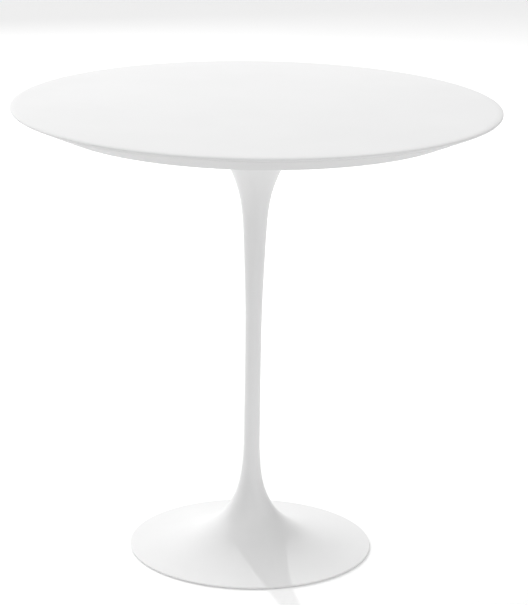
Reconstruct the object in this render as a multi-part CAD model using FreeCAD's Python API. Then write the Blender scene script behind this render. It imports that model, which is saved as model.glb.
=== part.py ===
"""Round pedestal side table: a thin bevelled round top on a one-piece cast stem and foot.

Millimetres, +Z up, origin on the floor under the centre of the table.
"""
import FreeCAD, Part
import math
import os

from FreeCAD import Vector

# ---------------------------------------------------------------- overall sizes
table_height = 485.0
top_diameter = 508.0
foot_diameter = 260.0
waist_diameter = 17.0

# ---------------------------------------------------------------- table top
top_thickness = 21.0
bevel_width = 42.0
face_sheet_thickness = 3.2
backer_thickness = 0.8
crown_width = 8.0
crown_drop = 1.4
face_edge_round = 0.5
glue_line_step = 0.3

# ---------------------------------------------------------------- plate that joins top and pedestal
plate_thickness = 5.0
plate_margin = 7.0
plate_edge_chamfer = 0.8
spigot_diameter = 24.0
spigot_length = 4.0
gasket_thickness = 1.0

# ---------------------------------------------------------------- fasteners (M6 throughout)
thread_diameter = 6.0
socket_across_flats = 4.0
socket_depth = 2.2
washer_diameter = 12.0
washer_thickness = 1.6

plate_screw_count = 6
plate_screw_room = 2.0
plate_screw_length = 16.0
button_head_diameter = 10.5
button_head_height = 3.3

head_screw_count = 4
head_screw_room = 10.0
head_screw_length = 20.0
countersink_diameter = 12.0
countersink_depth = 3.3
head_screw_sink = 0.2

insert_diameter = 9.0
insert_length = 12.0
insert_pocket_spare = 1.0

# ---------------------------------------------------------------- pedestal casting
head_diameter = 108.0
head_rim_height = 3.0
foot_flare_height = 127.0
waist_length = 75.0
foot_edge_height = 1.9
foot_edge_round = 0.9
foot_wall = 5.0
foot_land_width = 35.0
foot_hollow_roof_diameter = 88.0

# ---------------------------------------------------------------- floor ring
floor_gap = 0.5
ring_inset = 18.5
ring_width = 7.0
ring_groove_depth = 1.2

# ---------------------------------------------------------------- clearances
round_clearance = 0.05
hole_clearance = 0.3
tapping_spare = 2.0
spigot_end_gap = 0.3

# Shape of the two flares, as (share of the flare's reach, share of its height), from the
# wide end to the waist.
foot_flare_shape = [
    (0.883, 0.011), (0.759, 0.028), (0.634, 0.050), (0.510, 0.080), (0.402, 0.118),
    (0.303, 0.174), (0.189, 0.261), (0.106, 0.371), (0.037, 0.544), (0.004, 0.800),
]
head_flare_shape = [
    (0.740, 0.058), (0.495, 0.120), (0.337, 0.180), (0.202, 0.252), (0.118, 0.340),
    (0.079, 0.440), (0.050, 0.560), (0.020, 0.700), (0.003, 0.860),
]
foot_flare_start_slope = 0.09
head_flare_start_slope = 1.1

# ---------------------------------------------------------------- levels worked out from the sizes
top_radius = top_diameter / 2
underside_z = table_height - top_thickness
face_joint_z = table_height - face_sheet_thickness
core_bottom_z = underside_z + backer_thickness
plate_bottom_z = underside_z - plate_thickness
head_top_z = plate_bottom_z - gasket_thickness
head_rim_z = head_top_z - head_rim_height
foot_top_edge_z = floor_gap + foot_edge_height
foot_radius = foot_diameter / 2
waist_radius = waist_diameter / 2
head_radius = head_diameter / 2
thread_radius = thread_diameter / 2
screw_hole_radius = thread_radius + hole_clearance
plate_screw_circle = head_diameter + washer_diameter + 2 * plate_screw_room
plate_diameter = plate_screw_circle + washer_diameter + 2 * plate_margin
head_screw_circle = spigot_diameter + countersink_diameter + 2 * head_screw_room
ring_outer_radius = foot_radius - ring_inset
ring_inner_radius = ring_outer_radius - ring_width
ring_top_z = floor_gap + ring_groove_depth


def bevel_radius(z):
    """Radius of the top's slanted underside at height z."""
    flat = top_radius - bevel_width
    rim = top_radius - glue_line_step
    return flat + (rim - flat) * (z - underside_z) / (face_joint_z - underside_z)


def line(start, end):
    """Straight edge between two (radius, height) points."""
    return Part.LineSegment(Vector(start[0], 0, start[1]), Vector(end[0], 0, end[1])).toShape()


def arc(start, middle, end):
    """Circular edge through three (radius, height) points."""
    return Part.Arc(*(Vector(p[0], 0, p[1]) for p in (start, middle, end))).toShape()


def lathe(edges):
    """Solid of revolution about the table's axis from a closed outline."""
    return Part.Face(Part.Wire(edges)).revolve(Vector(0, 0, 0), Vector(0, 0, 1), 360)


def lathe_polygon(points):
    """Solid of revolution from straight edges through (radius, height) points."""
    return lathe([line(a, b) for a, b in zip(points, points[1:] + points[:1])])


def disc(radius, z_low, z_high):
    """Upright cylinder on the table's axis."""
    return Part.makeCylinder(radius, z_high - z_low, Vector(0, 0, z_low))


def around(solid, count, circle_diameter):
    """Copies of a solid made on the axis, spread evenly on a circle."""
    copies = []
    for index in range(count):
        angle = 2 * math.pi * index / count
        copy = solid.copy()
        copy.translate(Vector(math.cos(angle), math.sin(angle), 0) * (circle_diameter / 2))
        copies.append(copy)
    return copies


def on_plate_screws(solid):
    """Copies at the screws that hold the top."""
    return around(solid, plate_screw_count, plate_screw_circle)


def on_head_screws(solid):
    """Copies at the screws that hold the plate on the pedestal."""
    return around(solid, head_screw_count, head_screw_circle)


def hex_prism(across_flats, z_low, z_high):
    """Hexagonal key socket as a solid on the axis."""
    corner = across_flats / math.sqrt(3)
    turns = [math.pi * side / 3 for side in range(7)]
    outline = Part.makePolygon([Vector(corner * math.cos(t), corner * math.sin(t), z_low) for t in turns])
    return Part.Face(outline).extrude(Vector(0, 0, z_high - z_low))


def flare(shape, wide_radius, wide_z, waist_z, start_slope):
    """Smooth edge from a wide end to the waist, ending upright there."""
    reach, rise = wide_radius - waist_radius, waist_z - wide_z
    points = [Vector(wide_radius, 0, wide_z)]
    points += [Vector(waist_radius + reach * r, 0, wide_z + rise * h) for r, h in shape]
    points.append(Vector(waist_radius, 0, waist_z))
    direction = math.copysign(1, rise)
    curve = Part.BSplineCurve()
    curve.interpolate(
        Points=points,
        InitialTangent=Vector(-1, 0, direction * start_slope),
        FinalTangent=Vector(0, 0, direction),
    )
    return curve.toShape()


def flare_height_at(edge, radius):
    """Height of a flare's surface at a given radius."""
    cut = edge.common(Part.makeBox(1e-3, 2, table_height * 2, Vector(radius, -1, 0)))
    return cut.BoundBox.Center.z


def face_sheet():
    """White sheet on top: flat, with a soft crown to a short upright edge."""
    crown_start = top_radius - crown_width
    crown_low = table_height - crown_drop
    rim_point = Vector(top_radius, 0, crown_low)
    flat_point = Vector(crown_start, 0, table_height)
    centre = Vector(crown_start, 0, crown_low)
    crown = Part.ArcOfEllipse(Part.Ellipse(rim_point, flat_point, centre), 0, math.pi / 2).toShape()
    round_start = face_joint_z + face_edge_round
    round_end = top_radius - face_edge_round
    bend = face_edge_round * (1 - math.sqrt(0.5))
    return lathe([
        line((0, face_joint_z), (round_end, face_joint_z)),
        arc((round_end, face_joint_z), (top_radius - bend, face_joint_z + bend), (top_radius, round_start)),
        line((top_radius, round_start), (top_radius, crown_low)),
        crown,
        line((crown_start, table_height), (0, table_height)),
        line((0, table_height), (0, face_joint_z)),
    ])


def core_panel():
    """Fibreboard core with the bevelled underside and blind holes for the inserts."""
    core = lathe_polygon([
        (0, core_bottom_z), (bevel_radius(core_bottom_z), core_bottom_z),
        (bevel_radius(face_joint_z), face_joint_z), (0, face_joint_z),
    ])
    pocket_top_z = core_bottom_z + insert_length + insert_pocket_spare
    pocket = disc(insert_diameter / 2 + round_clearance, core_bottom_z, pocket_top_z)
    return core.cut(on_plate_screws(pocket))


def backer_sheet():
    """Thin balancing sheet on the flat underside, following the bevel."""
    sheet = lathe_polygon([
        (0, underside_z), (bevel_radius(underside_z), underside_z),
        (bevel_radius(core_bottom_z), core_bottom_z), (0, core_bottom_z),
    ])
    return sheet.cut(on_plate_screws(disc(screw_hole_radius, underside_z, core_bottom_z)))


def threaded_inserts():
    """Brass inserts set flush in the core."""
    body = disc(insert_diameter / 2, core_bottom_z, core_bottom_z + insert_length)
    bore = disc(thread_radius + round_clearance, core_bottom_z, core_bottom_z + insert_length)
    return Part.makeCompound(on_plate_screws(body.cut(bore)))


def mounting_plate():
    """Steel disc between pedestal and top, with a spigot that centres it on the pedestal."""
    edge = plate_diameter / 2
    spigot = spigot_diameter / 2
    spigot_end = head_top_z - spigot_length
    plate = lathe_polygon([
        (0, underside_z), (edge - plate_edge_chamfer, underside_z), (edge, underside_z - plate_edge_chamfer),
        (edge, plate_bottom_z + plate_edge_chamfer), (edge - plate_edge_chamfer, plate_bottom_z),
        (spigot, plate_bottom_z), (spigot, spigot_end), (0, spigot_end),
    ])
    clear_hole = disc(screw_hole_radius, plate_bottom_z, underside_z)
    sink_top = underside_z - head_screw_sink
    countersink = Part.makeCone(
        thread_radius + hole_clearance, countersink_diameter / 2 + hole_clearance, countersink_depth,
        Vector(0, 0, sink_top - countersink_depth),
    ).fuse(disc(countersink_diameter / 2 + hole_clearance, sink_top, underside_z))
    return plate.cut(on_plate_screws(clear_hole) + on_head_screws(clear_hole.fuse(countersink)))


def plate_washers():
    """Flat washers under the screws that hold the top."""
    washer = disc(washer_diameter / 2, plate_bottom_z - washer_thickness, plate_bottom_z)
    return Part.makeCompound(on_plate_screws(washer.cut(disc(screw_hole_radius, 0, table_height))))


def plate_screws():
    """Button-head socket screws, driven up through the plate into the inserts."""
    seat = plate_bottom_z - washer_thickness
    crown_z = seat - button_head_height
    half_crown = button_head_diameter / 4
    side_z = seat - button_head_height / 5
    edge = button_head_diameter / 2
    head = lathe([
        line((0, seat), (edge, seat)),
        line((edge, seat), (edge, side_z)),
        arc((edge, side_z), (edge * 0.86, (side_z + crown_z) / 2), (half_crown, crown_z)),
        line((half_crown, crown_z), (0, crown_z)),
        line((0, crown_z), (0, seat)),
    ])
    shank = disc(thread_radius, seat, seat + plate_screw_length)
    socket = hex_prism(socket_across_flats, crown_z, crown_z + socket_depth)
    return Part.makeCompound(on_plate_screws(head.fuse(shank).removeSplitter().cut(socket)))


def head_screws():
    """Countersunk socket screws, driven down through the plate into the pedestal's head."""
    head_z = underside_z - head_screw_sink
    head_low = head_z - countersink_depth
    head = Part.makeCone(thread_radius, countersink_diameter / 2, countersink_depth, Vector(0, 0, head_low))
    shank = disc(thread_radius, head_z - head_screw_length, head_low)
    socket = hex_prism(socket_across_flats, head_z - socket_depth, head_z)
    return Part.makeCompound(on_head_screws(head.fuse(shank).removeSplitter().cut(socket)))


def head_gasket():
    """Fibre washer that keeps the plate off the coated casting."""
    sheet = disc(head_radius, head_top_z, plate_bottom_z)
    sheet = sheet.cut(disc(spigot_diameter / 2 + hole_clearance, head_top_z, plate_bottom_z))
    return sheet.cut(on_head_screws(disc(screw_hole_radius, head_top_z, plate_bottom_z)))


def foot_hollow(foot_flare):
    """Space cast into the foot's underside, one wall below its outer surface."""
    rim = foot_radius - foot_land_width
    roof = foot_hollow_roof_diameter / 2
    radii = [roof + (rim - roof) * share for share in (0.0, 0.25, 0.5, 0.75)]
    points = [Vector(r, 0, flare_height_at(foot_flare, r) - foot_wall) for r in radii]
    points.append(Vector(rim, 0, floor_gap))
    curve = Part.BSplineCurve()
    curve.interpolate(points)
    roof_z = points[0].z
    return lathe([
        line((0, floor_gap), (0, roof_z)), line((0, roof_z), (roof, roof_z)),
        curve.toShape(), line((rim, floor_gap), (0, floor_gap)),
    ])


def ring_groove():
    """Groove for the floor ring, with its clearance."""
    outer = disc(ring_outer_radius + round_clearance, floor_gap, ring_top_z)
    return outer.cut(disc(ring_inner_radius - round_clearance, floor_gap, ring_top_z))


def pedestal():
    """Cast stem and foot in one piece: flared head, slender waist, trumpet foot."""
    edge_low = floor_gap + foot_edge_round
    edge_high = foot_top_edge_z - foot_edge_round
    inset = foot_radius - foot_edge_round
    bend = foot_edge_round * (1 - math.sqrt(0.5))
    waist_low = foot_top_edge_z + foot_flare_height
    waist_top = waist_low + waist_length
    foot_flare = flare(foot_flare_shape, inset, foot_top_edge_z, waist_low, foot_flare_start_slope)
    head_flare = flare(head_flare_shape, head_radius, head_rim_z, waist_top, head_flare_start_slope)
    casting = lathe([
        line((0, floor_gap), (inset, floor_gap)),
        arc((inset, floor_gap), (foot_radius - bend, floor_gap + bend), (foot_radius, edge_low)),
        line((foot_radius, edge_low), (foot_radius, edge_high)),
        arc((foot_radius, edge_high), (foot_radius - bend, foot_top_edge_z - bend), (inset, foot_top_edge_z)),
        foot_flare,
        line((waist_radius, waist_low), (waist_radius, waist_top)),
        head_flare,
        line((head_radius, head_rim_z), (head_radius, head_top_z)),
        line((head_radius, head_top_z), (0, head_top_z)),
        line((0, head_top_z), (0, floor_gap)),
    ])
    recess_z = head_top_z - spigot_length - spigot_end_gap
    recess = disc(spigot_diameter / 2 + round_clearance, recess_z, head_top_z)
    tip_z = underside_z - head_screw_sink - head_screw_length
    tapped = disc(thread_radius + round_clearance, tip_z - tapping_spare, head_top_z)
    return casting.cut([recess, foot_hollow(foot_flare), ring_groove()] + on_head_screws(tapped))


def floor_ring():
    """Rubber ring pressed into the foot's groove; the table stands on it."""
    return disc(ring_outer_radius, 0, ring_top_z).cut(disc(ring_inner_radius, 0, ring_top_z))


sub_parts = [
    face_sheet, core_panel, backer_sheet, threaded_inserts, mounting_plate, plate_washers,
    plate_screws, head_screws, head_gasket, pedestal, floor_ring,
]

os.makedirs("parts", exist_ok=True)
for make in sub_parts:
    shape = make()
    shape.exportStep("parts/%s.step" % make.__name__)
    print(make.__name__, "solids", len(shape.Solids), "volume %.1f" % shape.Volume, "valid", shape.isValid())
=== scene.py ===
"""Round pedestal side table: a thin bevelled top on a one-piece cast stem and trumpet foot.

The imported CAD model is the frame. The turned pieces that show are made again here as even, closed meshes,
with their sizes read from the frame, and every piece gets the finish of the real material.
"""
import logging
import math
from dataclasses import dataclass, field
from enum import Enum

import bpy
import numpy as np
from mathutils import Matrix, Vector


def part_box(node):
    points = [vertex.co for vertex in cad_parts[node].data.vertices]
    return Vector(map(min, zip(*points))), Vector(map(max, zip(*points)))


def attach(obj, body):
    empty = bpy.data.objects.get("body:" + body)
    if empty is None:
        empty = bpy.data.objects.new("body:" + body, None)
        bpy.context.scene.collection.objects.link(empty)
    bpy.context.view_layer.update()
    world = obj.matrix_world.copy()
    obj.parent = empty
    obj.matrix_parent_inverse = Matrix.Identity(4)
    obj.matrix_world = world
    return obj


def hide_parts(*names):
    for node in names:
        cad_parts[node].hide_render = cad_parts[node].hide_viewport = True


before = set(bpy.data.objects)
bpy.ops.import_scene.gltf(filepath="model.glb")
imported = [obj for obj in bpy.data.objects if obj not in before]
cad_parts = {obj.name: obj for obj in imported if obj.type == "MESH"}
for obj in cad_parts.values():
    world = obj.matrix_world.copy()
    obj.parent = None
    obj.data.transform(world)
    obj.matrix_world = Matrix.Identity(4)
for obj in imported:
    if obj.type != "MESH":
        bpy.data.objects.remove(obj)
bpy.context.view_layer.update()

MM = 0.001
ROUNDING = 0.001 * MM
MERGE_DISTANCE = 0.002 * MM
BODY = "root"
Point = tuple[float, float]
Node = bpy.types.Node
Tree = bpy.types.NodeTree
Socket = bpy.types.NodeSocket
log = logging.getLogger("side_table")


# ---------------------------------------------------------------------- nodes and colour
def add_node(tree: Tree, kind: str, settings: dict | None = None, links: dict | None = None) -> Node:
    """Adds a node to a tree.

    Args:
        tree: The tree that gets the node.
        kind: The node's type name.
        settings: Values by property name, or by input name or number.
        links: Output sockets by input name or number.

    Returns:
        The new node.
    """
    node = tree.nodes.new(kind)
    for key, value in (settings or {}).items():
        if isinstance(key, str) and hasattr(node, key):
            setattr(node, key, value)
        else:
            node.inputs[key].default_value = value
    for key, output in (links or {}).items():
        tree.links.new(output, node.inputs[key])
    return node


def linear(colour: str) -> tuple[float, float, float, float]:
    """Turns an sRGB hex colour into linear RGBA.

    Args:
        colour: Such as "#F2F2F0".

    Returns:
        Linear red, green, blue and an alpha of 1.
    """
    parts = [int(colour[i:i + 2], 16) / 255 for i in (1, 3, 5)]
    red, green, blue = (c / 12.92 if c <= 0.04045 else ((c + 0.055) / 1.055) ** 2.4 for c in parts)
    return red, green, blue, 1.0


# ---------------------------------------------------------------------- finishes
class Pattern(Enum):
    """How a finish's surface was made, which settles its relief."""

    SPRAYED = "soft rounded ripple of a coat that flowed and set"
    PRESSED = "fine crisp grain from a press plate"
    TURNED = "rings about the table's axis, left by a lathe tool"
    CAST = "sprayed coat outside, sandy casting skin in the hollow of the foot"
    FIBROUS = "matted fibres"


# Radians that the wave texture turns in one metre at a scale of 1.
WAVE_RATE = 20.0
# Sandy casting skin: its grain, how much deeper it is than the coat's ripple, and the faces that have it,
# which tilt down by this much and lie below this height.
SAND_GRAIN = 1.6 * MM
SAND_DEEPER = 9.0
LOOKS_DOWN = -0.2
HOLLOW_TOP = 30.0 * MM


@dataclass(frozen=True)
class Finish:
    """A material's colour, gloss and relief, in real sizes."""

    name: str
    pattern: Pattern
    colour: str
    mottle: str
    roughness: Point
    mottle_mm: float
    grain_mm: float
    grain_depth_mm: float
    metallic: float = 0.0
    ior: float = 1.5
    glow: float = 0.0

    def build(self) -> bpy.types.Material:
        """Makes the material.

        Returns:
            The node material, which reads Object coordinates.
        """
        material = bpy.data.materials.new(self.name)
        material.use_nodes = True
        tree = material.node_tree
        tree.nodes.clear()
        place = add_node(tree, "ShaderNodeTexCoord").outputs["Object"]
        mottle = add_node(
            tree, "ShaderNodeTexNoise",
            {"Scale": 1 / (self.mottle_mm * MM), "Detail": 3.0, "Roughness": 0.55}, {"Vector": place},
        ).outputs["Fac"]
        colour = add_node(
            tree, "ShaderNodeMix",
            {"data_type": "RGBA", 6: linear(self.colour), 7: linear(self.mottle)},
            {0: self.spread(tree, mottle, 0.0, 1.0)},
        ).outputs[2]
        roughness = self.spread(tree, mottle, *self.roughness)
        bump = add_node(
            tree, "ShaderNodeBump", {"Strength": 1.0, "Distance": self.grain_depth_mm * MM},
            {"Height": self.relief(tree, place)},
        ).outputs["Normal"]
        shader = add_node(
            tree, "ShaderNodeBsdfPrincipled",
            {
                "Metallic": self.metallic, "IOR": self.ior,
                "Emission Color": linear("#FFFFFF"), "Emission Strength": self.glow,
            },
            {"Base Color": colour, "Roughness": roughness, "Normal": bump},
        )
        add_node(tree, "ShaderNodeOutputMaterial", links={"Surface": shader.outputs["BSDF"]})
        return material

    def spread(self, tree: Tree, value: Socket, low: float, high: float) -> Socket:
        """Stretches a noise's middle range over low to high.

        Args:
            tree: The material's tree.
            value: The noise.
            low: Result at the noise's usual least.
            high: Result at the noise's usual most.

        Returns:
            The stretched value's socket.
        """
        return add_node(
            tree, "ShaderNodeMapRange",
            {"From Min": 0.35, "From Max": 0.65, "To Min": low, "To Max": high}, {"Value": value},
        ).outputs["Result"]

    def relief(self, tree: Tree, place: Socket) -> Socket:
        """Makes the height pattern that the way of making leaves.

        Args:
            tree: The material's tree.
            place: Object coordinates.

        Returns:
            The height socket, from 0 to 1.
        """
        grain_scale = 1 / (self.grain_mm * MM)
        if self.pattern is Pattern.TURNED:
            rings = add_node(
                tree, "ShaderNodeTexWave",
                {
                    "wave_type": "RINGS", "rings_direction": "Z", "Scale": grain_scale / WAVE_RATE,
                    "Distortion": 0.4, "Detail": 2.0, "Detail Scale": 2.0,
                },
                {"Vector": place},
            )
            return rings.outputs["Fac"]
        if self.pattern is Pattern.FIBROUS:
            stretched = add_node(tree, "ShaderNodeMapping", {"Scale": (1.0, 0.25, 1.0)}, {"Vector": place})
            place = stretched.outputs["Vector"]
        detail = {Pattern.SPRAYED: 0.0, Pattern.CAST: 1.0}.get(self.pattern, 3.0)
        grain = add_node(
            tree, "ShaderNodeTexNoise", {"Scale": grain_scale, "Detail": detail, "Roughness": 0.5},
            {"Vector": place},
        ).outputs["Fac"]
        return self.cast_skin(tree, place, grain) if self.pattern is Pattern.CAST else grain

    def cast_skin(self, tree: Tree, place: Socket, smooth: Socket) -> Socket:
        """Changes the smooth coat to sandy casting skin on faces that look down inside the foot.

        Args:
            tree: The material's tree.
            place: Object coordinates.
            smooth: Height of the coat where it is smooth.

        Returns:
            The mixed height's socket.
        """
        sand = add_node(
            tree, "ShaderNodeTexNoise", {"Scale": 1 / SAND_GRAIN, "Detail": 4.0, "Roughness": 0.7},
            {"Vector": place},
        ).outputs["Fac"]
        normal = add_node(tree, "ShaderNodeTexCoord").outputs["Normal"]
        facing = add_node(tree, "ShaderNodeSeparateXYZ", links={"Vector": normal}).outputs["Z"]
        height = add_node(tree, "ShaderNodeSeparateXYZ", links={"Vector": place}).outputs["Z"]
        tall, looks_down, in_foot = (
            add_node(tree, "ShaderNodeMath", {"operation": operation, 1: number}, {0: value}).outputs[0]
            for operation, number, value in (
                ("MULTIPLY", SAND_DEEPER, sand),
                ("LESS_THAN", LOOKS_DOWN, facing),
                ("LESS_THAN", HOLLOW_TOP, height),
            )
        )
        inside = add_node(
            tree, "ShaderNodeMath", {"operation": "MULTIPLY"}, {0: looks_down, 1: in_foot}
        ).outputs[0]
        mix = add_node(tree, "ShaderNodeMix", {"data_type": "FLOAT"}, {0: inside, 2: smooth, 3: tall})
        return mix.outputs[0]


# Compact laminate: solid white sheet off a satin press plate, so reflections are soft and almost even.
WHITE_LAMINATE = Finish(
    "white_compact_laminate", Pattern.PRESSED, "#E7E7E7", "#E6E6E6", (0.34, 0.37), 90.0, 0.9, 0.004,
)
# Two-pack lacquer sprayed on sanded fibreboard, the same white as the top, but its colour is painted greyer
# as painted shade for the downward bevelled underside; half matt, with slight orange peel.
BOARD_LACQUER_PAINTED_SHADE = Finish(
    "lacquer_on_board_with_painted_shade", Pattern.SPRAYED, "#D0D0D0", "#CFCFCF", (0.52, 0.56), 60.0, 2.6, 0.012,
)
# Balancing laminate: thin, matt and greyer, because nobody looks at it.
BACKER_LAMINATE = Finish(
    "matt_balancing_laminate", Pattern.PRESSED, "#DBDBDA", "#D8D8D7", (0.60, 0.70), 25.0, 0.8, 0.02,
)
# Nylon fused on cast iron in a powder bath: thick and even, it rounds edges and shines softly.
FUSED_COAT = Finish(
    "white_fused_nylon_on_casting", Pattern.CAST, "#EBEBEB", "#EAEAEA", (0.30, 0.33), 60.0, 3.2, 0.010,
)
# Zinc plate on turned steel: bluish grey, with tool rings under the plating, drawn 5 mm apart to show.
ZINC_PLATE = Finish(
    "zinc_plated_turned_steel", Pattern.TURNED, "#B4B8BC", "#A6AAAE", (0.30, 0.46), 12.0, 0.8, 0.006, 1.0,
)
# Zinc plate on small pressed parts: brighter, with fine speckle.
ZINC_FASTENER = Finish(
    "zinc_plated_fastener_steel", Pattern.PRESSED, "#C2C5C8", "#AEB2B6", (0.24, 0.38), 2.0, 0.4, 0.004, 1.0,
)
# Black oxide: a thin dark conversion layer that lets some steel shine through, oily in the hollows.
BLACK_OXIDE = Finish(
    "black_oxide_steel", Pattern.PRESSED, "#2B2B2D", "#38383B", (0.34, 0.5), 2.5, 0.5, 0.004, 0.9,
)
# Turned brass, unlacquered: yellow metal with slight tarnish.
BRASS = Finish("turned_brass", Pattern.PRESSED, "#D9B36A", "#B88E49", (0.26, 0.44), 3.0, 0.5, 0.004, 1.0)
# Vulcanised fibre: red-brown pressed cotton sheet, dull and slightly streaky.
FIBRE = Finish("vulcanised_fibre", Pattern.FIBROUS, "#7A4A3A", "#693D30", (0.55, 0.7), 6.0, 0.6, 0.02)
# Moulded rubber: near black with a dusty bloom and fine pebble from the mould.
RUBBER = Finish("moulded_black_rubber", Pattern.PRESSED, "#1E1E1F", "#2A2A2B", (0.62, 0.8), 8.0, 0.7, 0.03)
# Seamless paper, lit a little from below: pale, matt and even.
PAPER = Finish(
    "seamless_pale_paper", Pattern.PRESSED, "#FDFDFD", "#FCFCFC", (0.85, 0.95), 400.0, 3.0, 0.01, glow=0.08,
)


# ---------------------------------------------------------------------- turned outlines
class Leaving(Enum):
    """Which way a quarter bend sets off."""

    LEVEL = "along the radius"
    UPRIGHT = "along the axis"


@dataclass
class Outline:
    """Half-section of a turned piece: (radius, height) points, from top middle to bottom middle."""

    points: list[Point] = field(default_factory=list)

    def to(self, radius: float, height: float, steps: int = 1) -> "Outline":
        """Goes straight to a point, in even steps.

        Args:
            radius: Radius at the line's end.
            height: Height at the line's end.
            steps: Number of steps along the line.

        Returns:
            The outline, so that calls can follow each other.
        """
        if not self.points:
            self.points.append((radius, height))
            return self
        start_radius, start_height = self.points[-1]
        for step in range(1, steps + 1):
            share = step / steps
            across, along = (radius - start_radius) * share, (height - start_height) * share
            self.points.append((start_radius + across, start_height + along))
        return self

    def bend(self, radius: float, height: float, leaving: Leaving, steps: int) -> "Outline":
        """Goes to a point round a quarter of an ellipse.

        Args:
            radius: Radius at the bend's end.
            height: Height at the bend's end.
            leaving: Which way the bend sets off.
            steps: Number of facets in the bend.

        Returns:
            The outline, so that calls can follow each other.
        """
        start_radius, start_height = self.points[-1]
        for step in range(1, steps + 1):
            turn = math.pi / 2 * step / steps
            fast, slow = math.sin(turn), 1 - math.cos(turn)
            out_share, up_share = (fast, slow) if leaving is Leaving.LEVEL else (slow, fast)
            across, along = (radius - start_radius) * out_share, (height - start_height) * up_share
            self.points.append((start_radius + across, start_height + along))
        return self

    def through(self, points: list[Point], spacing: float) -> "Outline":
        """Follows a smooth curve through points, starting at the first of them.

        Args:
            points: Points on the curve.
            spacing: Longest step between the points added.

        Returns:
            The outline, so that calls can follow each other.
        """
        ends = [2 * np.array(points[0]) - points[1], 2 * np.array(points[-1]) - points[-2]]
        knots = [ends[0], *map(np.array, points), ends[1]]
        self.points.append(tuple(knots[1]))
        for before, start, end, after in zip(knots, knots[1:], knots[2:], knots[3:]):
            steps = max(1, math.ceil(float(np.linalg.norm(end - start)) / spacing))
            for step in range(1, steps + 1):
                self.points.append(tuple(between(before, start, end, after, step / steps)))
        return self


def between(
    before: np.ndarray, start: np.ndarray, end: np.ndarray, after: np.ndarray, share: float
) -> np.ndarray:
    """Point between start and end on a centripetal Catmull-Rom curve through four points.

    Args:
        before: Point before the stretch.
        start: Where the stretch begins.
        end: Where the stretch ends.
        after: Point after the stretch.
        share: How far along the stretch, from 0 to 1.

    Returns:
        The point.
    """
    t0 = 0.0
    t1 = math.sqrt(float(np.linalg.norm(start - before)))
    t2 = t1 + math.sqrt(float(np.linalg.norm(end - start)))
    t3 = t2 + math.sqrt(float(np.linalg.norm(after - end)))
    t = t1 + (t2 - t1) * share
    a1 = before * (t1 - t) / (t1 - t0) + start * (t - t0) / (t1 - t0)
    a2 = start * (t2 - t) / (t2 - t1) + end * (t - t1) / (t2 - t1)
    a3 = end * (t3 - t) / (t3 - t2) + after * (t - t2) / (t3 - t2)
    b1 = a1 * (t2 - t) / (t2 - t0) + a2 * (t - t0) / (t2 - t0)
    b2 = a2 * (t3 - t) / (t3 - t1) + a3 * (t - t1) / (t3 - t1)
    return b1 * (t2 - t) / (t2 - t1) + b2 * (t - t1) / (t2 - t1)


def widening(rings: list[Point]) -> list[Point]:
    """Keeps the points of a list that are at least as wide as all before them.

    Args:
        rings: (radius, height) points.

    Returns:
        The points kept, in the same order.
    """
    widest, found = 0.0, []
    for radius, height in rings:
        if radius >= widest:
            widest = radius
            found.append((radius, height))
    return found


def outer_rings(node: str, low: float, waist: float, high: float, spacing: float) -> list[Point]:
    """Reads the outer surface of a waisted turned node, from its top to its bottom.

    Args:
        node: Name of the CAD node.
        low: Lowest height to read.
        waist: A height on the narrowest stretch.
        high: Highest height to read.
        spacing: Least distance between the points kept.

    Returns:
        (radius, height) points, highest first, with the two ends always kept.
    """
    rings = [(math.hypot(v.co.x, v.co.y), v.co.z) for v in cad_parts[node].data.vertices]
    above = [ring for ring in rings if waist <= ring[1] < high + ROUNDING]
    below = [ring for ring in rings if low - ROUNDING < ring[1] < waist]
    upper = widening(sorted(above, key=lambda ring: (ring[1], -ring[0])))
    lower = widening(sorted(below, key=lambda ring: (-ring[1], -ring[0])))
    every = upper[::-1] + lower
    kept = every[:1]
    for point in every[1:-1]:
        if math.dist(point, kept[-1]) >= spacing and math.dist(point, every[-1]) >= spacing:
            kept.append(point)
    return kept + every[-1:]


# ---------------------------------------------------------------------- turned pieces
@dataclass
class Thread:
    """A screw thread cut into a turned piece's side."""

    pitch: float
    depth: float
    low: float
    high: float
    root: float


# How far each point of a blank's side moves in, as sums in order: name, operation and terms. A point sinks
# most where its height in pitches, less its share of a turn, is a whole number, and not at all at a half.
THREAD_SUMS = (
    ("x squared", "MULTIPLY", "x", "x"),
    ("y squared", "MULTIPLY", "y", "y"),
    ("radius squared", "ADD", "x squared", "y squared"),
    ("radius", "SQRT", "radius squared"),
    ("angle", "ARCTAN2", "y", "x"),
    ("turn", "DIVIDE", "angle", math.tau),
    ("rise", "DIVIDE", "z", "pitch"),
    ("lead", "SUBTRACT", "rise", "turn"),
    ("phase", "FRACT", "lead"),
    ("doubled", "MULTIPLY", "phase", 2.0),
    ("centred", "SUBTRACT", "doubled", 1.0),
    ("groove", "ABSOLUTE", "centred"),
    ("above low", "SUBTRACT", "z", "low"),
    ("below high", "SUBTRACT", "high", "z"),
    ("run in", "DIVIDE", "above low", "pitch"),
    ("run out", "DIVIDE", "below high", "pitch"),
    ("fade", "MULTIPLY", "run in", "run out"),
    ("full cut", "MULTIPLY", "groove", "depth"),
    ("cut", "MULTIPLY", "full cut", "fade"),
    ("drawn in", "SUBTRACT", "radius", "cut"),
    ("radius off the axis", "MAXIMUM", "radius", 1e-6),
    ("shrink", "DIVIDE", "drawn in", "radius off the axis"),
    ("on the side", "GREATER_THAN", "radius", "root"),
    ("new x", "MULTIPLY", "x", "shrink"),
    ("new y", "MULTIPLY", "y", "shrink"),
)


@dataclass
class Bores:
    """Upright holes cut into a turned piece, evenly spaced on a circle."""

    count: int
    circle: float
    radius: float
    low: float
    high: float
    corners: int = 32


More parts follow.
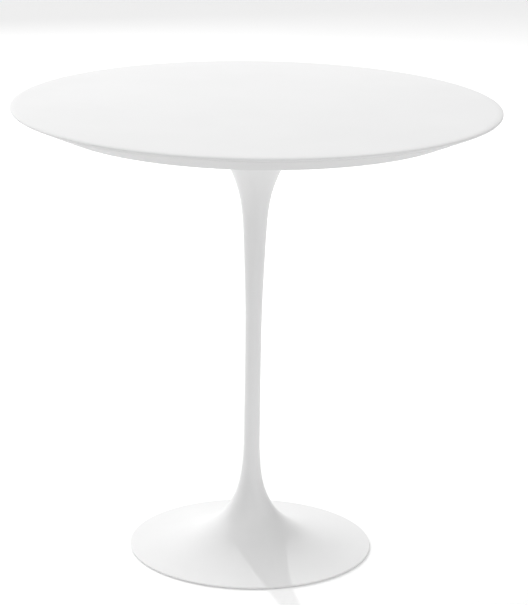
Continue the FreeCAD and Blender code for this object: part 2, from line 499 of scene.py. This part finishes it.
@dataclass
class Turning:
    """A turned piece made by a Geometry Nodes tree that sweeps its outline, then cuts and copies it."""

    name: str
    outline: Outline
    finish: bpy.types.Material
    segments: int = 256
    thread: Thread | None = None
    bores: Bores | None = None
    copies: int = 1
    copies_circle: float = 0.0
    sharp_angle: float = math.radians(32)
    values: dict = field(default_factory=dict)

    def socket(
        self, tree: Tree, entry: Node, name: str, kind: str, value: float | int | bpy.types.Material
    ) -> Socket:
        """Adds a named input to the tree and remembers its value.

        Args:
            tree: The tree.
            entry: Its Group Input node.
            name: The input's name.
            kind: The input's socket type.
            value: What the modifier sets it to.

        Returns:
            The input's socket inside the tree.
        """
        made = tree.interface.new_socket(name, in_out="INPUT", socket_type="NodeSocket" + kind)
        self.values[made.identifier] = value
        return entry.outputs[name]

    def swept(self, tree: Tree, entry: Node) -> Socket:
        """Sweeps the outline round a circle one metre in radius, which the outline's mesh allows for.

        Args:
            tree: The tree.
            entry: Its Group Input node.

        Returns:
            The swept mesh's socket, with its poles and its seam closed.
        """
        segments = self.socket(tree, entry, "Segments", "Int", self.segments)
        edges = entry.outputs["Outline"]
        line = add_node(tree, "GeometryNodeMeshToCurve", links={"Mesh": edges}).outputs[0]
        path = add_node(tree, "GeometryNodeCurvePrimitiveCircle", {"Radius": 1.0}, {"Resolution": segments})
        swept = add_node(
            tree, "GeometryNodeCurveToMesh", links={"Curve": path.outputs["Curve"], "Profile Curve": line}
        ).outputs[0]
        return add_node(
            tree, "GeometryNodeMergeByDistance", {"Distance": MERGE_DISTANCE}, {"Geometry": swept}
        ).outputs[0]

    def threaded(self, tree: Tree, entry: Node, mesh: Socket) -> Socket:
        """Cuts the thread by drawing the side in along a helix, with a run-out of one pitch at each end.

        Args:
            tree: The tree.
            entry: Its Group Input node.
            mesh: The turned blank.

        Returns:
            The threaded mesh's socket.
        """
        place = add_node(tree, "GeometryNodeInputPosition").outputs[0]
        x, y, z = add_node(tree, "ShaderNodeSeparateXYZ", links={"Vector": place}).outputs
        known = {"x": x, "y": y, "z": z}
        for name in ("pitch", "depth", "low", "high", "root"):
            size = getattr(self.thread, name)
            known[name] = self.socket(tree, entry, "Thread " + name.title(), "Float", size)
        for name, operation, *terms in THREAD_SUMS:
            sides = dict(enumerate(terms))
            numbers = {side: term for side, term in sides.items() if isinstance(term, float)}
            links = {side: known[term] for side, term in sides.items() if isinstance(term, str)}
            settings = {"operation": operation, "use_clamp": name in ("run in", "run out")}
            known[name] = add_node(tree, "ShaderNodeMath", settings | numbers, links).outputs[0]
        moved = add_node(
            tree, "ShaderNodeCombineXYZ", links={"X": known["new x"], "Y": known["new y"], "Z": z}
        ).outputs[0]
        return add_node(
            tree, "GeometryNodeSetPosition",
            links={"Geometry": mesh, "Selection": known["on the side"], "Position": moved},
        ).outputs[0]

    def bored(self, tree: Tree, entry: Node, mesh: Socket) -> Socket:
        """Cuts the bores out of the piece.

        Args:
            tree: The tree.
            entry: Its Group Input node.
            mesh: The piece's mesh.

        Returns:
            The bored mesh's socket.
        """
        bores = self.bores
        count = self.socket(tree, entry, "Bore Count", "Int", bores.count)
        circle = self.socket(tree, entry, "Bore Circle Radius", "Float", bores.circle)
        radius = self.socket(tree, entry, "Bore Radius", "Float", bores.radius)
        length = self.socket(tree, entry, "Bore Length", "Float", bores.high - bores.low)
        middle = self.socket(tree, entry, "Bore Middle Height", "Float", (bores.high + bores.low) / 2)
        tool = add_node(
            tree, "GeometryNodeMeshCylinder", {"Vertices": bores.corners},
            {"Radius": radius, "Depth": length},
        ).outputs["Mesh"]
        tools = self.round_circle(tree, tool, count, circle, middle)
        return add_node(
            tree, "GeometryNodeMeshBoolean", {"operation": "DIFFERENCE", "solver": "EXACT"},
            {"Mesh 1": mesh, "Mesh 2": tools},
        ).outputs["Mesh"]

    def round_circle(
        self, tree: Tree, mesh: Socket, count: Socket, circle: Socket, height: Socket | None = None
    ) -> Socket:
        """Puts copies of a mesh evenly on a circle, as one mesh.

        Args:
            tree: The tree.
            mesh: What is copied.
            count: Number of copies.
            circle: The circle's radius.
            height: How far the copies are raised, if they are.

        Returns:
            The joined mesh's socket.
        """
        spots = add_node(
            tree, "GeometryNodeMeshCircle", links={"Vertices": count, "Radius": circle}
        ).outputs["Mesh"]
        if height is not None:
            lift = add_node(tree, "ShaderNodeCombineXYZ", links={"Z": height}).outputs[0]
            spots = add_node(
                tree, "GeometryNodeSetPosition", links={"Geometry": spots, "Offset": lift}
            ).outputs[0]
        put = add_node(
            tree, "GeometryNodeInstanceOnPoints", links={"Points": spots, "Instance": mesh}
        ).outputs[0]
        return add_node(tree, "GeometryNodeRealizeInstances", links={"Geometry": put}).outputs[0]

    def tree(self) -> Tree:
        """Builds the tree, with only the stages that the piece needs.

        Returns:
            The tree, which takes the outline and gives the piece.
        """
        tree = bpy.data.node_groups.new("turn_" + self.name, "GeometryNodeTree")
        tree.interface.new_socket("Outline", in_out="INPUT", socket_type="NodeSocketGeometry")
        tree.interface.new_socket("Piece", in_out="OUTPUT", socket_type="NodeSocketGeometry")
        entry = tree.nodes.new("NodeGroupInput")
        mesh = self.swept(tree, entry)
        if self.thread:
            mesh = self.threaded(tree, entry, mesh)
        if self.bores:
            mesh = self.bored(tree, entry, mesh)
        if self.copies > 1:
            count = self.socket(tree, entry, "Copies", "Int", self.copies)
            circle = self.socket(tree, entry, "Copies Circle Radius", "Float", self.copies_circle)
            mesh = self.round_circle(tree, mesh, count, circle)
        angle = add_node(tree, "GeometryNodeInputMeshEdgeAngle").outputs["Unsigned Angle"]
        limit = self.socket(tree, entry, "Sharp Angle", "Float", self.sharp_angle)
        sharp = add_node(
            tree, "FunctionNodeCompare", {"data_type": "FLOAT", "operation": "GREATER_THAN"},
            {0: angle, 1: limit},
        ).outputs[0]
        smooth = add_node(
            tree, "GeometryNodeSetShadeSmooth", {"domain": "FACE"}, {"Geometry": mesh}
        ).outputs[0]
        creased = add_node(
            tree, "GeometryNodeSetShadeSmooth", {"domain": "EDGE", "Shade Smooth": False},
            {"Geometry": smooth, "Selection": sharp},
        ).outputs[0]
        whole = add_node(tree, "GeometryNodeRealizeInstances", links={"Geometry": creased}).outputs[0]
        finish = self.socket(tree, entry, "Finish", "Material", self.finish)
        dressed = add_node(tree, "GeometryNodeSetMaterial", links={"Geometry": whole, "Material": finish})
        leave = tree.nodes.new("NodeGroupOutput")
        tree.links.new(dressed.outputs[0], leave.inputs["Piece"])
        return tree

    def make(self) -> bpy.types.Object:
        """Runs the tree on the outline and keeps the result as a plain mesh.

        Returns:
            The piece's object, at the origin.
        """
        line = bpy.data.meshes.new(self.name + "_outline")
        corners = [(radius - 1.0, -height, 0.0) for radius, height in self.outline.points]
        line.from_pydata(corners, [(i, i + 1) for i in range(len(corners) - 1)], [])
        source = bpy.data.objects.new(self.name + "_source", line)
        bpy.context.scene.collection.objects.link(source)
        modifier = source.modifiers.new("Turning", "NODES")
        modifier.node_group = self.tree()
        for identifier, value in self.values.items():
            modifier[identifier] = value
        depsgraph = bpy.context.evaluated_depsgraph_get()
        mesh = bpy.data.meshes.new_from_object(source.evaluated_get(depsgraph))
        mesh.name = self.name
        bpy.data.objects.remove(source)
        piece = bpy.data.objects.new(self.name, mesh)
        bpy.context.scene.collection.objects.link(piece)
        return piece


def fit_piece(piece: bpy.types.Object, slot: str, *nodes: str) -> None:
    """Puts a finished piece on the table in place of CAD nodes.

    Args:
        piece: The piece.
        slot: The record's material slot; not used.
        *nodes: The CAD nodes that it stands for.
    """
    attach(piece, BODY)
    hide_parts(*nodes)
    log.info("%s: %d faces in place of %s", piece.name, len(piece.data.polygons), ", ".join(nodes))


def dress_node(node: str, finish: bpy.types.Material) -> None:
    """Gives a CAD node that keeps its own shape the finish of the real piece.

    Args:
        node: Name of the CAD node.
        finish: Its material.
    """
    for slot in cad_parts[node].material_slots:
        slot.material = finish
    log.info("%s: CAD shape kept", node)


# ---------------------------------------------------------------------- the table's parts
# Screw circles that more than one part follows: the number of screws, and the circle's radius.
PLATE_SCREWS, PLATE_CIRCLE = 6, 62.0 * MM
HEAD_SCREWS, HEAD_CIRCLE = 4, 28.0 * MM


@dataclass
class TableTop:
    """Face sheet, core with its bevelled underside, and balancing sheet."""

    crown_width: float = 8.0 * MM
    crown_drop: float = 1.4 * MM
    face_round: float = 0.5 * MM
    core_round: float = 0.4 * MM
    insert_circle: float = PLATE_CIRCLE
    insert_count: int = PLATE_SCREWS
    pocket_radius: float = 4.55 * MM
    pocket_depth: float = 13.0 * MM

    def face_sheet(self) -> None:
        """Makes the white sheet on top, with its soft crown and short upright edge."""
        low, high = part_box("face_sheet")
        radius = high.x
        outline = Outline().to(0, high.z).to(radius - self.crown_width - 2 * MM, high.z, 14)
        outline.to(radius - self.crown_width, high.z)
        outline.bend(radius, high.z - self.crown_drop, Leaving.LEVEL, 14)
        outline.to(radius, low.z + self.face_round, 2)
        outline.bend(radius - self.face_round, low.z, Leaving.UPRIGHT, 4)
        outline.to(radius - self.crown_width, low.z, 2).to(0, low.z, 4)
        piece = Turning("top_face_sheet", outline, WHITE_LAMINATE.build(), segments=384).make()
        fit_piece(piece, "white_laminate", "face_sheet")

    def core(self) -> None:
        """Makes the core: a sharp upper edge eased by the lacquer, then the slanted underside."""
        low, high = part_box("core_panel")
        backer_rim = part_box("backer_sheet")[1].x
        rim = high.x
        slope = (rim - backer_rim) / (high.z - low.z)
        eased = high.z - self.core_round
        outline = Outline().to(0, high.z).to(rim - 2 * self.core_round, high.z, 8)
        outline.bend(rim - self.core_round * slope, eased, Leaving.LEVEL, 4)
        outline.to(backer_rim, low.z, 16).to(0, low.z, 8)
        pocket_top = low.z + self.pocket_depth
        pockets = Bores(self.insert_count, self.insert_circle, self.pocket_radius, low.z - MM, pocket_top)
        # The core's lacquer colour is painted darker than its real white: painted shade on the bevelled
        # underside.
        piece = Turning("top_core", outline, BOARD_LACQUER_PAINTED_SHADE.build(), segments=384, bores=pockets).make()
        fit_piece(piece, "white_lacquered_board", "core_panel")

    def build(self) -> None:
        """Makes the whole top."""
        self.face_sheet()
        self.core()
        dress_node("backer_sheet", BACKER_LAMINATE.build())


@dataclass
class Pedestal:
    """The one-piece casting with flared head, stem and hollow trumpet foot, and the ring it stands on."""

    waist_height: float = 160.0 * MM
    head_rim_height: float = 3.0 * MM
    head_round: float = 0.4 * MM
    edge_round: float = 0.9 * MM
    edge_flat: float = 0.1 * MM
    edge_height: float = 1.9 * MM
    wall: float = 5.0 * MM
    land_width: float = 35.0 * MM
    roof_radius: float = 44.0 * MM
    recess_depth: float = 4.3 * MM
    recess_radius: float = 12.05 * MM
    ring_width: float = 7.0 * MM
    ring_round: float = 0.5 * MM
    groove_clearance: float = 0.05 * MM
    flare_spacing: float = 2.5 * MM
    mesh_spacing: float = 1.6 * MM
    tapped_count: int = HEAD_SCREWS
    tapped_circle: float = HEAD_CIRCLE
    tapped_radius: float = 3.05 * MM
    tapping_spare: float = 2.0 * MM

    def hollow(self, flare: list[Point], rim: float, floor_level: float) -> list[Point]:
        """Works out the hollow's roof, one wall below the foot's outer surface.

        Args:
            flare: (radius, height) points of the foot's outer surface.
            rim: Radius of the hollow's rim.
            floor_level: Height of the rim.

        Returns:
            The roof's points, from its rim inwards.
        """
        radii, heights = zip(*sorted(flare))
        roof = [(rim, floor_level)]
        for share in (0.25, 0.5, 0.75, 0.9, 1.0):
            radius = rim + (self.roof_radius - rim) * share
            roof.append((radius, float(np.interp(radius, radii, heights)) - self.wall))
        return roof

    def casting(self) -> None:
        """Makes the casting with the coat's rounded edges."""
        low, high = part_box("pedestal")
        ring_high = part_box("floor_ring")[1]
        foot, bottom = high.x, low.z
        ring_inner = ring_high.x - self.ring_width - self.groove_clearance
        ring_outer = ring_high.x + self.groove_clearance
        rings = outer_rings(
            "pedestal", bottom + self.edge_height, self.waist_height, high.z - self.head_rim_height,
            self.flare_spacing,
        )
        head = rings[0][0]
        recess_floor = high.z - self.recess_depth
        outline = Outline().to(0, recess_floor).to(self.recess_radius, recess_floor, 3)
        outline.to(self.recess_radius, high.z, 2).to(head - 3 * self.head_round, high.z, 8)
        outline.to(head - self.head_round, high.z)
        outline.bend(head, high.z - self.head_round, Leaving.LEVEL, 4)
        outline.to(head, rings[0][1] + self.head_round)
        outline.through(rings, self.mesh_spacing)
        outline.bend(foot, bottom + self.edge_round + self.edge_flat, Leaving.LEVEL, 6)
        outline.to(foot, bottom + self.edge_round)
        outline.bend(foot - self.edge_round, bottom, Leaving.UPRIGHT, 6)
        outline.to(ring_outer, bottom, 4).to(ring_outer, ring_high.z).to(ring_inner, ring_high.z, 2)
        outline.to(ring_inner, bottom).to(foot - self.land_width, bottom, 3)
        flare = [r for r in rings if r[1] < self.waist_height]
        outline.through(self.hollow(flare, foot - self.land_width, bottom), self.mesh_spacing)
        outline.to(0, outline.points[-1][1], 12)
        tapped_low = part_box("head_screws")[0].z - self.tapping_spare
        tapped = Bores(self.tapped_count, self.tapped_circle, self.tapped_radius, tapped_low, high.z + MM)
        coat = FUSED_COAT.build()
        piece = Turning("pedestal_casting", outline, coat, segments=192, bores=tapped).make()
        fit_piece(piece, "white_fused_coat", "pedestal")

    def floor_ring(self) -> None:
        """Makes the rubber ring with moulded, rounded edges."""
        low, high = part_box("floor_ring")
        ease = self.ring_round
        outer, inner = high.x, high.x - self.ring_width
        outline = Outline().to(inner, low.z + ease).to(inner, high.z).to(outer, high.z, 3)
        outline.to(outer, low.z + ease, 2).bend(outer - ease, low.z, Leaving.UPRIGHT, 4)
        outline.to(inner + ease, low.z, 3).bend(inner, low.z + ease, Leaving.LEVEL, 4)
        piece = Turning("foot_ring", outline, RUBBER.build(), segments=192).make()
        fit_piece(piece, "black_rubber", "floor_ring")

    def build(self) -> None:
        """Makes the casting and its ring."""
        self.casting()
        self.floor_ring()


class Drive(Enum):
    """Head shapes of the socket screws."""

    BUTTON = "low dome, driven upwards from below"
    COUNTERSUNK = "cone, driven downwards from above"


@dataclass
class Fixings:
    """Plate, gasket, screws, washers and inserts that hold the top on the pedestal."""

    thread_radius: float = 3.0 * MM
    pitch: float = 1.0 * MM
    thread_depth: float = 0.54 * MM
    socket_radius: float = 4.0 * MM / math.sqrt(3)
    socket_depth: float = 2.2 * MM
    plate_count: int = PLATE_SCREWS
    plate_circle: float = PLATE_CIRCLE
    head_count: int = HEAD_SCREWS
    head_circle: float = HEAD_CIRCLE
    button_height: float = 3.3 * MM
    button_radius: float = 5.25 * MM
    countersunk_height: float = 3.3 * MM
    countersunk_radius: float = 6.0 * MM
    insert_radius: float = 4.5 * MM
    insert_pitch: float = 2.0 * MM
    insert_depth: float = 0.6 * MM
    washer_hole: float = 3.3 * MM
    washer_radius: float = 6.0 * MM
    bore_room: float = 0.05 * MM
    eased: float = 0.2 * MM
    root_margin: float = 0.1 * MM
    rows_per_turn: int = 8

    def screw(
        self, name: str, node: str, drive: Drive, finish: Finish, slot: str, count: int, circle: float
    ) -> None:
        """Makes one set of screws.

        Args:
            name: Name of the piece.
            node: CAD node that it stands for.
            drive: Head shape.
            finish: Its finish.
            slot: The record's material slot.
            count: How many screws there are.
            circle: Radius of the circle that they stand on.
        """
        low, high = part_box(node)
        shank, root = self.thread_radius, self.thread_radius - self.thread_depth
        core = root - self.root_margin
        if drive is Drive.BUTTON:
            seat, tip = low.z + self.button_height, high.z
            outline = Outline().to(0, tip).to(root, tip, 2).to(shank, tip - self.thread_depth)
            outline.to(shank, seat, round((tip - seat) / self.pitch) * self.rows_per_turn)
            outline.to(self.button_radius - self.eased, seat, 2)
            outline.bend(self.button_radius, seat - self.eased, Leaving.LEVEL, 3)
            dome_start = seat - self.button_height / 5
            outline.to(self.button_radius, dome_start)
            outline.bend(self.button_radius / 2, low.z, Leaving.UPRIGHT, 10).to(0, low.z, 3)
            thread = Thread(self.pitch, self.thread_depth, seat + 2 * self.pitch, tip, core)
            socket = Bores(1, 0.0, self.socket_radius, low.z - MM, low.z + self.socket_depth, corners=6)
        else:
            seat, tip = high.z - self.countersunk_height, low.z
            outline = Outline().to(0, high.z).to(self.countersunk_radius - self.eased, high.z, 4)
            outline.bend(self.countersunk_radius, high.z - self.eased, Leaving.LEVEL, 3)
            turns = round((seat - tip) / self.pitch)
            outline.to(shank, seat, 4).to(shank, tip + self.thread_depth, turns * self.rows_per_turn)
            outline.to(root, tip).to(0, tip, 2)
            thread = Thread(self.pitch, self.thread_depth, tip, seat - 2 * self.pitch, core)
            socket = Bores(1, 0.0, self.socket_radius, high.z - self.socket_depth, high.z + MM, corners=6)
        piece = Turning(
            name, outline, finish.build(), segments=32, thread=thread, bores=socket,
            copies=count, copies_circle=circle,
        ).make()
        fit_piece(piece, slot, node)

    def washers(self) -> None:
        """Makes the flat washers, with the rolled lower edge that pressing leaves."""
        low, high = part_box("plate_washers")
        outer, hole = self.washer_radius, self.washer_hole
        outline = Outline().to(hole, high.z).to(outer, high.z, 2).to(outer, low.z + self.eased)
        outline.bend(outer - self.eased, low.z, Leaving.UPRIGHT, 3).to(hole + self.eased, low.z, 2)
        outline.bend(hole, low.z + self.eased, Leaving.LEVEL, 3).to(hole, high.z)
        piece = Turning(
            "plate_washer_set", outline, ZINC_FASTENER.build(), segments=48,
            copies=self.plate_count, copies_circle=self.plate_circle,
        ).make()
        fit_piece(piece, "steel_washer", "plate_washers")

    def inserts(self) -> None:
        """Makes the brass inserts, with the coarse thread that holds them in the board."""
        low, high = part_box("threaded_inserts")
        bore, root = self.thread_radius + self.bore_room, self.insert_radius - self.insert_depth
        outline = Outline().to(bore, high.z).to(root, high.z)
        outline.to(self.insert_radius, high.z - self.insert_depth)
        outline.to(self.insert_radius, low.z, 36).to(bore, low.z).to(bore, high.z, 12)
        thread = Thread(self.insert_pitch, self.insert_depth, low.z, high.z, root - self.root_margin)
        piece = Turning(
            "board_inserts", outline, BRASS.build(), segments=40, thread=thread,
            copies=self.plate_count, copies_circle=self.plate_circle,
        ).make()
        fit_piece(piece, "brass_insert", "threaded_inserts")

    def build(self) -> None:
        """Makes every fixing."""
        self.screw(
            "plate_screw_set", "plate_screws", Drive.BUTTON, ZINC_FASTENER, "steel_screw",
            self.plate_count, self.plate_circle,
        )
        self.screw(
            "head_screw_set", "head_screws", Drive.COUNTERSUNK, BLACK_OXIDE, "black_screw",
            self.head_count, self.head_circle,
        )
        self.washers()
        self.inserts()
        dress_node("mounting_plate", ZINC_PLATE.build())
        dress_node("head_gasket", FIBRE.build())


# ---------------------------------------------------------------------- studio
@dataclass(frozen=True)
class Glow:
    """A soft patch of light in the sky: a large diffuser far away."""

    azimuth: float
    elevation: float
    tightness: float
    strength: float


def toward(azimuth: float, elevation: float) -> Vector:
    """Gives the direction at an azimuth, from +Y towards +X, and an elevation, in degrees."""
    turn, rise = math.radians(azimuth), math.radians(elevation)
    return Vector((math.sin(turn) * math.cos(rise), math.cos(turn) * math.cos(rise), math.sin(rise)))


@dataclass
class Lamp:
    """A square studio lamp that hangs in a direction and points at a height on the table's axis."""

    name: str
    azimuth: float
    elevation: float
    distance: float
    size: float
    watts: float
    aim_height: float
    mirrored: bool = True

    def build(self) -> None:
        """Hangs the lamp; one that isn't mirrored has a filter, so gloss doesn't show it."""
        data = bpy.data.lights.new(self.name, "AREA")
        data.size, data.energy = self.size, self.watts
        lamp = bpy.data.objects.new(self.name, data)
        away = toward(self.azimuth, self.elevation)
        lamp.location = Vector((0.0, 0.0, self.aim_height)) + away * self.distance
        lamp.rotation_euler = (-away).to_track_quat("-Z", "Y").to_euler()
        lamp.visible_glossy = self.mirrored
        bpy.context.scene.collection.objects.link(lamp)


@dataclass
class Studio:
    """Pale seamless floor, soft light from diffusers all round, two lamps, and the camera."""

    floor_half: float = 14.0
    floor_tiles: int = 28
    ambient: float = 0.10
    glows: tuple[Glow, ...] = (
        Glow(-60, 15, 5, 1.45),
        Glow(0, 15, 5, 0.95),
        Glow(120, 15, 5, 0.75),
        Glow(180, 60, 6, 1.20),
        Glow(0, 90, 1, 0.20),
    )
    lamps: tuple[Lamp, ...] = (
        Lamp("key_lamp", -14.0, 28.5, 3.0, 0.07, 36.0, 0.05, mirrored=False),
        Lamp("left_panel", -60.0, 52.0, 1.8, 1.2, 4.4, 0.3),
    )
    camera_distance: float = 2.486
    camera_height: float = 0.9856
    camera_pitch: float = 16.004
    camera_yaw: float = 0.249
    camera_roll: float = 0.945
    lens_mm: float = 145.7
    sensor_mm: float = 36.0

    def floor(self) -> None:
        """Lays the floor."""
        half, steps = self.floor_half, self.floor_tiles
        lines = [half * (2 * i / steps - 1) for i in range(steps + 1)]
        corners = [(x, y, 0.0) for y in lines for x in lines]
        row = steps + 1
        faces = [
            (j * row + i, j * row + i + 1, (j + 1) * row + i + 1, (j + 1) * row + i)
            for j in range(steps) for i in range(steps)
        ]
        mesh = bpy.data.meshes.new("studio_floor")
        mesh.from_pydata(corners, [], faces)
        mesh.materials.append(PAPER.build())
        floor = bpy.data.objects.new("studio_floor", mesh)
        bpy.context.scene.collection.objects.link(floor)

    def sky(self) -> None:
        """Adds the diffusers' light up over the whole sky."""
        world = bpy.data.worlds.new("studio_light")
        world.use_nodes = True
        tree = world.node_tree
        tree.nodes.clear()
        direction = add_node(tree, "ShaderNodeTexCoord").outputs["Generated"]
        total = add_node(tree, "ShaderNodeValue").outputs[0]
        total.default_value = self.ambient
        for glow in self.glows:
            middle = toward(glow.azimuth, glow.elevation)
            soft = add_node(
                tree, "ShaderNodeVectorMath", {"operation": "DOT_PRODUCT", 1: middle}, {0: direction}
            ).outputs["Value"]
            for operation, number in (("MAXIMUM", 0.0), ("POWER", glow.tightness)):
                settings = {"operation": operation, 1: number}
                soft = add_node(tree, "ShaderNodeMath", settings, {0: soft}).outputs[0]
            total = add_node(
                tree, "ShaderNodeMath", {"operation": "MULTIPLY_ADD", 1: glow.strength}, {0: soft, 2: total}
            ).outputs[0]
        light = add_node(tree, "ShaderNodeBackground", links={"Color": total})
        add_node(tree, "ShaderNodeOutputWorld", links={"Surface": light.outputs[0]})
        bpy.context.scene.world = world

    def camera(self) -> None:
        """Sets up the camera: a long lens, looking down at the table."""
        pitch, yaw, roll = (math.radians(a) for a in (self.camera_pitch, self.camera_yaw, self.camera_roll))
        ahead = Vector((math.sin(yaw) * math.cos(pitch), math.cos(yaw) * math.cos(pitch), -math.sin(pitch)))
        level = Vector((math.cos(yaw), -math.sin(yaw), 0.0))
        upward = level.cross(ahead)
        right = math.cos(roll) * level + math.sin(roll) * upward
        top = math.cos(roll) * upward - math.sin(roll) * level
        data = bpy.data.cameras.new("studio_camera")
        data.sensor_width, data.lens = self.sensor_mm, self.lens_mm
        camera = bpy.data.objects.new("studio_camera", data)
        turn = Matrix((right, top, -ahead)).transposed().to_4x4()
        camera.matrix_world = Matrix.Translation((0.0, -self.camera_distance, self.camera_height)) @ turn
        bpy.context.scene.collection.objects.link(camera)
        bpy.context.scene.camera = camera

    def build(self) -> None:
        """Sets up the whole studio."""
        self.floor()
        self.sky()
        self.camera()
        for lamp in self.lamps:
            lamp.build()
        bpy.context.scene.view_settings.view_transform = "Standard"


def main() -> None:
    """Builds the studio and the table's parts in order."""
    logging.basicConfig(level=logging.INFO, format="%(name)s %(message)s")
    for part in (Studio(), TableTop(), Pedestal(), Fixings()):
        part.build()
        log.info("%s done", type(part).__name__)


if __name__ == "__main__":
    main()
